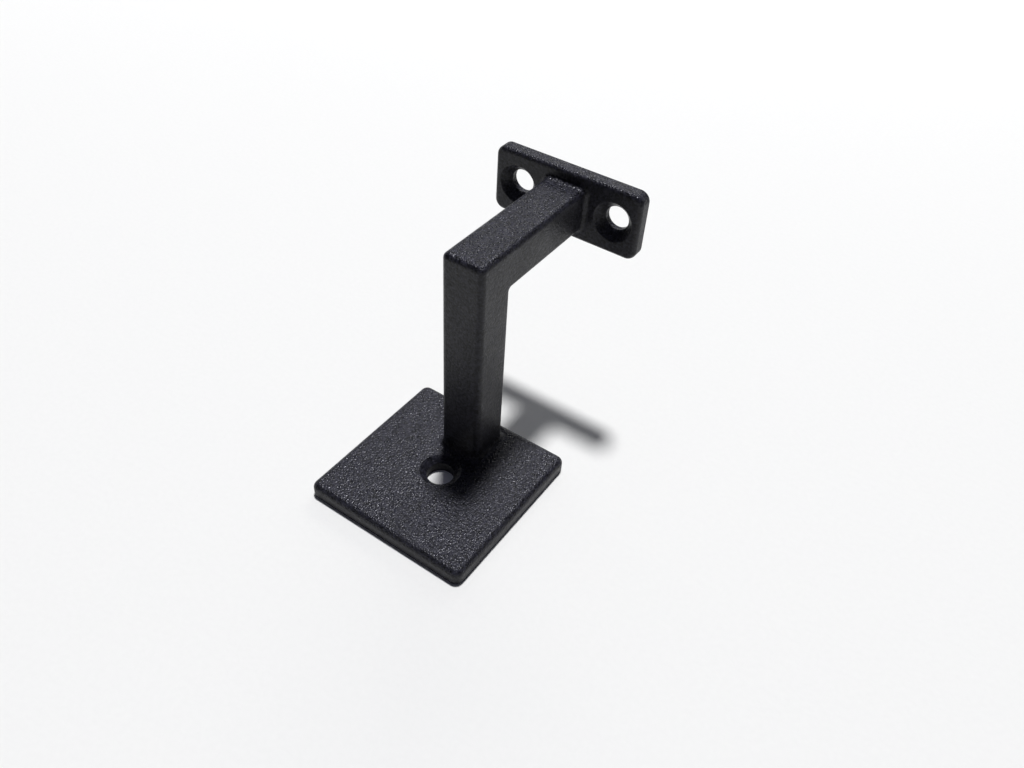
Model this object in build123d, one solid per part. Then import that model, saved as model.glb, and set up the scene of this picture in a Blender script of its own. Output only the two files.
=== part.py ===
from build123d import *
import math
import os

# Wall bracket for a stair handrail: a square wall plate, a square bar with one sharp
# elbow, and a saddle that the rail is fastened to, all cast in one piece.
# The bracket stands on its wall plate here. The plane z = 0 is the wall, +z leaves
# the wall along the post, and +y is the way the arm points. It is symmetric in x.
# The origin is the middle of the wall plate's back. All sizes are in millimetres.

# Wall plate
plate_side = 49.5
plate_thickness = 4.4
plate_corner_round = 2.2
plate_front_round = 1.8
plate_back_round = 0.4

# Bar: the post and the arm have the same section
bar_width = 12.2
bar_depth = 12.2
bar_edge_round = 1.6
elbow_inside_round = 0.5
arm_top_over_plate = 64.0
reach = 45.0                 # from the outer face of the post to the face of the saddle
post_to_plate_edge = 4.25    # wall plate left showing behind the post

# Saddle
saddle_width = 44.5
saddle_height = 19.0
saddle_thickness = 4.3
saddle_corner_round = 2.8
saddle_front_round = 1.3
saddle_back_round = 0.4

# Cast fillets where the bar grows out of the two plates
post_root_round = 1.6
arm_root_round = 1.5

# Fixing holes, all with a countersink for a flat head
wall_hole_diameter = 7.6
wall_head_diameter = 11.4
wall_sink_angle = 100.0
wall_hole_to_post = 8.3      # from the hole's axis to the outer face of the post
rail_hole_diameter = 6.7
rail_head_diameter = 11.3
rail_sink_angle = 82.0
rail_hole_to_end = 7.5       # from the hole's axis to the end of the saddle
rim_round = 0.3

# Places that follow from the sizes
post_back_y = plate_side / 2 - post_to_plate_edge
post_front_y = post_back_y - bar_depth
wall_hole_y = post_front_y - wall_hole_to_post
arm_top_z = plate_thickness + arm_top_over_plate
arm_bottom_z = arm_top_z - bar_depth
arm_middle_z = arm_top_z - bar_depth / 2
saddle_front_y = post_front_y + reach
saddle_back_y = saddle_front_y + saddle_thickness
rail_hole_x = saddle_width / 2 - rail_hole_to_end

# Both plates are drawn flat, back down, and laid on these planes
wall_plane = Plane.XY
rail_plane = Plane(origin=(0, saddle_back_y, arm_middle_z), x_dir=(1, 0, 0), z_dir=(0, -1, 0))

# Slack for telling faces and edges apart, and how far a cutter runs past a face
near = 0.01
overrun = 1.0

# Flat land kept between a root fillet and the rounded rim of its plate
land_share = 0.9


def rounded_plate(width, height, thickness, corner_round, front_round, back_round):
    """Plate lying on its back, with round corners and softened front and back rims."""
    plate = extrude(RectangleRounded(width, height, corner_round), thickness)
    plate = fillet(plate.faces().sort_by(Axis.Z)[-1].edges(), front_round)
    return fillet(plate.faces().sort_by(Axis.Z)[0].edges(), back_round)


def elbow_bar():
    """Post and arm as one bent bar whose two ends run half way into the plates."""
    foot_z = plate_thickness / 2
    tip_y = saddle_front_y + saddle_thickness / 2
    side_view = Polyline(
        (post_front_y, foot_z),
        (post_front_y, arm_top_z),
        (tip_y, arm_top_z),
        (tip_y, arm_bottom_z),
        (post_back_y, arm_bottom_z),
        (post_back_y, foot_z),
        close=True,
    )
    outline = make_face(Plane.YZ * side_view)
    inside_corner = outline.vertices().sort_by_distance((0, post_back_y, arm_bottom_z))[0]
    outline = fillet(inside_corner, elbow_inside_round)
    bar = extrude(outline, bar_width / 2, both=True)
    long_edges = bar.faces().filter_by(Axis.X).edges()
    elbow_edge = bar.edges().sort_by_distance((0, post_front_y, arm_top_z))[0]
    return fillet(long_edges + [elbow_edge], bar_edge_round)


def root_edges(body, plate_face_axis, level, middle):
    """Edges where the bar meets a plate's face: all lie in the face, round the bar."""
    across = math.hypot(bar_width, bar_depth) / 2
    in_face = body.edges().filter_by_position(plate_face_axis, level - near, level + near)
    return in_face.filter_by(lambda edge: (edge.center() - Vector(middle)).length < across)


def countersunk_hole(hole_diameter, head_diameter, sink_angle, thickness):
    """Cutter for one countersunk hole through a plate that lies on its back."""
    hole_radius = hole_diameter / 2
    head_radius = head_diameter / 2
    sink_depth = (head_radius - hole_radius) / math.tan(math.radians(sink_angle / 2))
    flat_radius = head_radius + rim_round
    half_section = Polyline(
        (0, -overrun),
        (hole_radius, -overrun),
        (hole_radius, thickness - sink_depth),
        (head_radius, thickness),
        (flat_radius, thickness),
        (flat_radius, thickness + overrun),
        (0, thickness + overrun),
        close=True,
    )
    section = make_face(Plane.XZ * half_section)
    rim = section.vertices().sort_by_distance((head_radius, 0, thickness))[0]
    return revolve(fillet(rim, rim_round), Axis.Z)


def bracket():
    """The whole casting."""
    wall_plate = rounded_plate(
        plate_side, plate_side, plate_thickness,
        plate_corner_round, plate_front_round, plate_back_round,
    )
    saddle = rounded_plate(
        saddle_width, saddle_height, saddle_thickness,
        saddle_corner_round, saddle_front_round, saddle_back_round,
    )
    body = wall_plane * wall_plate + elbow_bar() + rail_plane * saddle

    wall_room = post_to_plate_edge - plate_front_round
    post_root = root_edges(
        body, Axis.Z, plate_thickness, (0, (post_front_y + post_back_y) / 2, plate_thickness)
    )
    body = fillet(post_root, min(post_root_round, wall_room * land_share))

    rail_room = (saddle_height - bar_depth) / 2 - saddle_front_round
    arm_root = root_edges(body, Axis.Y, saddle_front_y, (0, saddle_front_y, arm_middle_z))
    body = fillet(arm_root, min(arm_root_round, rail_room * land_share))

    wall_hole = countersunk_hole(
        wall_hole_diameter, wall_head_diameter, wall_sink_angle, plate_thickness
    )
    body -= wall_plane * Pos(0, wall_hole_y) * wall_hole
    rail_hole = countersunk_hole(
        rail_hole_diameter, rail_head_diameter, rail_sink_angle, saddle_thickness
    )
    for side in (-1, 1):
        body -= rail_plane * Pos(side * rail_hole_x, 0) * rail_hole
    return body


os.makedirs("parts", exist_ok=True)
export_step(bracket(), "parts/bracket.step")
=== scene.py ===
import math
import bpy
import numpy as np
from mathutils import Matrix, Vector

# A handrail bracket: one casting with a black, finely pebbled powder coat, standing on its wall plate.
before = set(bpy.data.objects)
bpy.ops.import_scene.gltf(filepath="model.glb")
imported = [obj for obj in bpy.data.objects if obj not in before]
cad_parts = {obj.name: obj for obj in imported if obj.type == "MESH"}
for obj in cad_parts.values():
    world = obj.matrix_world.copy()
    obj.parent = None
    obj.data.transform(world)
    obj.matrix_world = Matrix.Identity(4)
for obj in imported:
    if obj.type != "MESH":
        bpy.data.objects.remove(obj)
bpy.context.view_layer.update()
mm = 0.001
print("frame: loaded")

# The Mix node has a set of sockets for each kind of value, and these are the numbers of its colour sockets
toneShare, toneA, toneB, toneOut = 0, 6, 7, 2

# A noise texture keeps near its middle, and most of it lies between these two values
noiseLow, noiseHigh = 0.35, 0.65


def linearColour(hexCode):
    # sRGB to linear: c / 12.92 near black, ((c + 0.055) / 1.055) to the power 2.4 above
    srgb = np.array([int(hexCode[i:i + 2], 16) for i in (1, 3, 5)]) / 255
    linear = np.where(srgb <= 0.04045, srgb / 12.92, ((srgb + 0.055) / 1.055) ** 2.4)
    return (*linear.tolist(), 1.0)


def addNode(tree, kind, inputs=None, **settings):
    # One node with its settings; each input is a value or another node's output
    node = tree.nodes.new(kind)
    for name, value in settings.items():
        setattr(node, name, value)
    for name, value in (inputs or {}).items():
        if isinstance(value, bpy.types.NodeSocket):
            tree.links.new(value, node.inputs[name])
        else:
            node.inputs[name].default_value = value
    return node


def newMaterial(name, roughness, specular, ior):
    material = bpy.data.materials.new(name)
    material.use_nodes = True
    shader = material.node_tree.nodes["Principled BSDF"]
    shader.inputs["Roughness"].default_value = roughness
    shader.inputs["Specular IOR Level"].default_value = specular
    shader.inputs["IOR"].default_value = ior
    return material, material.node_tree, shader


def fibreMaterial(name, s):
    # Matt fibres with no gloss: a soft cloud between two close tones, and a faint relief where one shows
    material, tree, shader = newMaterial(name, s["roughness"], s["specular"], s["ior"])
    place = addNode(tree, "ShaderNodeTexCoord")
    fibres = addNode(tree, "ShaderNodeTexNoise", {
        "Vector": place.outputs["Object"], "Scale": 1 / s["fibre"], "Detail": s["detail"]})
    first, second = (linearColour(tone) for tone in s["tones"])
    tone = addNode(tree, "ShaderNodeMix", {
        toneShare: fibres.outputs[0], toneA: first, toneB: second}, data_type="RGBA")
    tree.links.new(tone.outputs[toneOut], shader.inputs["Base Color"])
    if "relief" in s:
        relief = addNode(tree, "ShaderNodeBump", {"Height": fibres.outputs[0], "Distance": s["relief"]})
        tree.links.new(relief.outputs["Normal"], shader.inputs["Normal"])
    return material


def gridMesh(name, points):
    # A grid of points, rows by columns by xyz, becomes one quad between each four neighbours
    rows, columns = points.shape[:2]
    i, j = np.meshgrid(np.arange(rows - 1), np.arange(columns - 1), indexing="ij")
    corner = (i * columns + j).ravel()
    quads = np.stack([corner, corner + columns, corner + columns + 1, corner + 1], -1)
    mesh = bpy.data.meshes.new(name)
    mesh.from_pydata(points.reshape(-1, 3).tolist(), [], quads.tolist())
    return mesh


def addStage(name, points, material):
    piece = bpy.data.objects.new(name, gridMesh(name, points))
    bpy.context.scene.collection.objects.link(piece)
    piece.data.materials.append(material)
    return piece


powderCoat = {
    "tones": ("#0b0b0d", "#2b2b33"),   # jet black to a cool charcoal, one tone for each pebble
    "ior": 1.5,                        # polyester resin
    "specular": 0.265,                 # the pores between the pebbles swallow half of the mirror light
    "pebble": 0.55 * mm, "blend": 0.3, "height": 0.19 * mm,
    # Share of the height, and the roughness of a fused, glossy pebble and of an open, dull one
    "lying": {"height": 1.0, "glossy": 0.2, "dull": 0.6},
    "upright": {"height": 0.38, "glossy": 0.38, "dull": 0.49},
    # Share of the height, and what is added to the roughness, from the most rubbed place to the least
    "patch": 9 * mm, "patchDetail": 2.0, "patchHeight": (0.85, 1.0), "patchDulling": (-0.04, 0.04),
}


def powderCoatMaterial(s):
    # Black fine-texture polyester powder: sprayed dry on the blasted casting and baked, so that it melts
    # into one skin of tiny pebbles. Lying faces sparkle grey under the lamp, grain by grain, and upright
    # ones look smooth and satin. Pebbles are 0.2 to 0.4 mm across on such a coat. They are drawn a little
    # wider than the widest, because smaller ones would be lost between two pixels at this distance.
    material, tree, shader = newMaterial("blackPowderCoat", s["lying"]["dull"], s["specular"], s["ior"])
    place = addNode(tree, "ShaderNodeTexCoord")
    cell = {"Vector": place.outputs["Object"], "Scale": 1 / s["pebble"]}

    # Upright faces show much less of the grain and the sparkle than lying ones: their pebbles are drawn
    # lower, duller and more alike. The normal's z is 0 on an upright face and 1 on a lying one.
    facing = addNode(tree, "ShaderNodeSeparateXYZ", {"Vector": place.outputs["Normal"]})
    facingHeight, glossy, dull = (addNode(tree, "ShaderNodeMapRange", {
        "Value": facing.outputs["Z"],
        "To Min": s["upright"][key], "To Max": s["lying"][key]}).outputs["Result"]
        for key in ("height", "glossy", "dull"))

    # Uneven spray and the rub of hands and packing: in slow patches the pebbles are flatter and glossier
    patches = addNode(tree, "ShaderNodeTexNoise", {
        "Vector": place.outputs["Object"], "Scale": 1 / s["patch"], "Detail": s["patchDetail"]})
    patchHeight, patchDulling = (addNode(tree, "ShaderNodeMapRange", {
        "Value": patches.outputs[0], "From Min": noiseLow, "From Max": noiseHigh,
        "To Min": most, "To Max": least}).outputs["Result"]
        for most, least in (s["patchHeight"], s["patchDulling"]))

    # Each pebble is a dome: it falls by the square of the way from its middle
    pebble = addNode(tree, "ShaderNodeTexVoronoi", {**cell, "Smoothness": s["blend"]}, feature="SMOOTH_F1")
    away = pebble.outputs["Distance"]
    fall = addNode(tree, "ShaderNodeMath", {0: away, 1: away}, operation="MULTIPLY")
    strength = addNode(tree, "ShaderNodeMath", {0: patchHeight, 1: facingHeight}, operation="MULTIPLY")
    dome = addNode(tree, "ShaderNodeBump", {
        "Height": fall.outputs["Value"], "Distance": s["height"], "Strength": strength.outputs["Value"]},
        invert=True)
    tree.links.new(dome.outputs["Normal"], shader.inputs["Normal"])

    # Each pebble has a gloss and a tone of its own, from the random colour of its cell
    chance = addNode(tree, "ShaderNodeTexVoronoi", cell)
    lot = addNode(tree, "ShaderNodeSeparateColor", {"Color": chance.outputs["Color"]})
    pebbleRoughness = addNode(tree, "ShaderNodeMapRange", {
        "Value": lot.outputs["Red"], "To Min": glossy, "To Max": dull})
    roughness = addNode(tree, "ShaderNodeMath", {
        0: pebbleRoughness.outputs["Result"], 1: patchDulling}, operation="ADD")
    tree.links.new(roughness.outputs["Value"], shader.inputs["Roughness"])
    darkTone, lightTone = (linearColour(tone) for tone in s["tones"])
    tone = addNode(tree, "ShaderNodeMix", {
        toneShare: lot.outputs["Green"], toneA: darkTone, toneB: lightTone}, data_type="RGBA")
    tree.links.new(tone.outputs[toneOut], shader.inputs["Base Color"])
    return material


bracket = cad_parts["bracket"]
bracket.data.materials.clear()
bracket.data.materials.append(powderCoatMaterial(powderCoat))
print("bracket: powder coat on")

cameraSet = {
    "azimuth": 33.223, "elevation": 43.2202, "roll": 3.0517, "distance": 221.5514 * mm,
    "target": (0, 0, 30 * mm), "slide": (14.2853 * mm, 3.8428 * mm),
    "focalPx": 878.6776, "centrePx": (496.5551, 387.3099), "imagePx": (1024, 768),
    "sensorWidth": 36.0, "clipStart": 10 * mm,
}


def addCamera(s):
    # The azimuth runs from -Y towards +X, and the roll tips the picture after the camera has been aimed
    a, e, r = (math.radians(s[k]) for k in ("azimuth", "elevation", "roll"))
    back = Vector((math.sin(a) * math.cos(e), -math.cos(a) * math.cos(e), math.sin(e)))
    level = Vector((0, 0, 1)).cross(back).normalized()
    rise = back.cross(level)
    right = math.cos(r) * level + math.sin(r) * rise
    up = math.cos(r) * rise - math.sin(r) * level
    data = bpy.data.cameras.new("camera")
    width, height = s["imagePx"]
    data.sensor_width = s["sensorWidth"]
    data.lens = data.sensor_width * s["focalPx"] / width
    data.shift_x = (width / 2 - s["centrePx"][0]) / width
    data.shift_y = (s["centrePx"][1] - height / 2) / width
    data.clip_start = s["clipStart"]
    camera = bpy.data.objects.new("camera", data)
    bpy.context.scene.collection.objects.link(camera)
    turn = Matrix((right, up, back)).transposed()
    place = Vector(s["target"]) + back * s["distance"] + right * s["slide"][0] + up * s["slide"][1]
    camera.matrix_world = Matrix.Translation(place) @ turn.to_4x4()
    bpy.context.scene.camera = camera


addCamera(cameraSet)
print("camera: set")

# Matt background paper, pulped and pressed, with no gloss: an even white with a faint cloud of fibres
paperSet = {
    "tones": ("#edede3", "#f1f1e7"), "roughness": 0.9, "specular": 0.0, "ior": 1.5,
    "fibre": 1.5 * mm, "detail": 3.0, "relief": 0.03 * mm,
    "level": -0.02 * mm,               # a hair under the plate, so that no two faces share a plane
    "flatRadius": 0.8, "rimRadius": 2.0, "rimHeight": 1.0, "rings": 24, "spokes": 96,
}


def paperPoints(s):
    # A dish, flat in the middle: z = level + rimHeight x part squared, where part runs from 0 at flatRadius
    # to 1 at rimRadius
    r = np.concatenate([[0.0], np.linspace(s["flatRadius"], s["rimRadius"], s["rings"])])
    r, a = np.meshgrid(r, np.linspace(0, 2 * math.pi, s["spokes"] + 1), indexing="ij")
    part = (r - s["flatRadius"]).clip(0) / (s["rimRadius"] - s["flatRadius"])
    return np.stack([r * np.cos(a), r * np.sin(a), s["level"] + s["rimHeight"] * part ** 2], -1)


addStage("floor", paperPoints(paperSet), fibreMaterial("matteWhitePaper", paperSet))

# Black wool felt, brushed to a nap that gives back next to no light. It is the dark of the room, and keeps
# the faces that look sideways and up from mirroring anything but the floor.
curtainSet = {
    "tones": ("#080808", "#101010"), "roughness": 1.0, "specular": 0.0, "ior": 1.5,
    "fibre": 4 * mm, "detail": 3.0,
    "radius": 0.6, "openTowards": 30.0, "openWidth": 110.0, "low": 0.03, "high": 0.75, "columns": 48,
}


def curtainPoints(s):
    # An upright strip on a circle, x = -radius sin a and y = radius cos a, from low to high: it runs all
    # the way round but for an opening. The angle a is measured from +Y towards -X.
    start = s["openTowards"] + s["openWidth"] / 2
    turns = np.radians(np.linspace(start, start + 360 - s["openWidth"], s["columns"] + 1))
    a, z = np.meshgrid(turns, [s["low"], s["high"]], indexing="ij")
    return np.stack([-s["radius"] * np.sin(a), s["radius"] * np.cos(a), z], -1)


curtain = addStage("curtain", curtainPoints(curtainSet), fibreMaterial("blackFelt", curtainSet))
curtain.visible_camera = False
curtain.visible_shadow = False         # or else it would draw a dark arc on the paper
print("stage: paper floor and felt curtain up")

worldSet = {"colour": "#d4d8ff", "strength": 0.17}
world = bpy.data.worlds.new("studio")
bpy.context.scene.world = world
world.use_nodes = True
sky = world.node_tree.nodes["Background"]
sky.inputs["Color"].default_value = linearColour(worldSet["colour"])
sky.inputs["Strength"].default_value = worldSet["strength"]

lampSet = {"towards": (-0.117, 0.245, 1.0), "width": 7.0, "energy": 3.36, "colour": "#f5f5ff"}
windowSet = {
    "towards": 18.0, "elevation": 31.0, "distance": 1.2, "size": (0.5, 0.2),
    "radiance": 4.0, "colour": "#ffffff",
}


def addLight(name, kind, s):
    data = bpy.data.lights.new(name, kind)
    data.color = linearColour(s["colour"])[:3]
    light = bpy.data.objects.new(name, data)
    bpy.context.scene.collection.objects.link(light)
    return light, data


def addLamp(name, s):
    # A round lamp high over the table, as wide as its angle and too far off for its distance to matter
    light, data = addLight(name, "SUN", s)
    data.angle = math.radians(s["width"])
    data.energy = s["energy"]
    light.matrix_world = Vector(s["towards"]).to_track_quat("Z", "Y").to_matrix().to_4x4()


def addWindow(name, s):
    # A soft pane low behind the bracket, its azimuth from +Y towards -X: watts = radiance x pi x area
    light, data = addLight(name, "AREA", s)
    data.shape = "RECTANGLE"
    data.size, data.size_y = s["size"]
    data.energy = s["radiance"] * math.pi * data.size * data.size_y
    a, e = math.radians(s["towards"]), math.radians(s["elevation"])
    out = Vector((-math.sin(a) * math.cos(e), math.cos(a) * math.cos(e), math.sin(e)))
    turn = out.to_track_quat("Z", "Y").to_matrix().to_4x4()
    light.matrix_world = Matrix.Translation(out * s["distance"]) @ turn


addLamp("ceilingLamp", lampSet)
addWindow("window", windowSet)
print("light: lamp, window and dim room")

bpy.context.scene.view_settings.view_transform = "Standard"
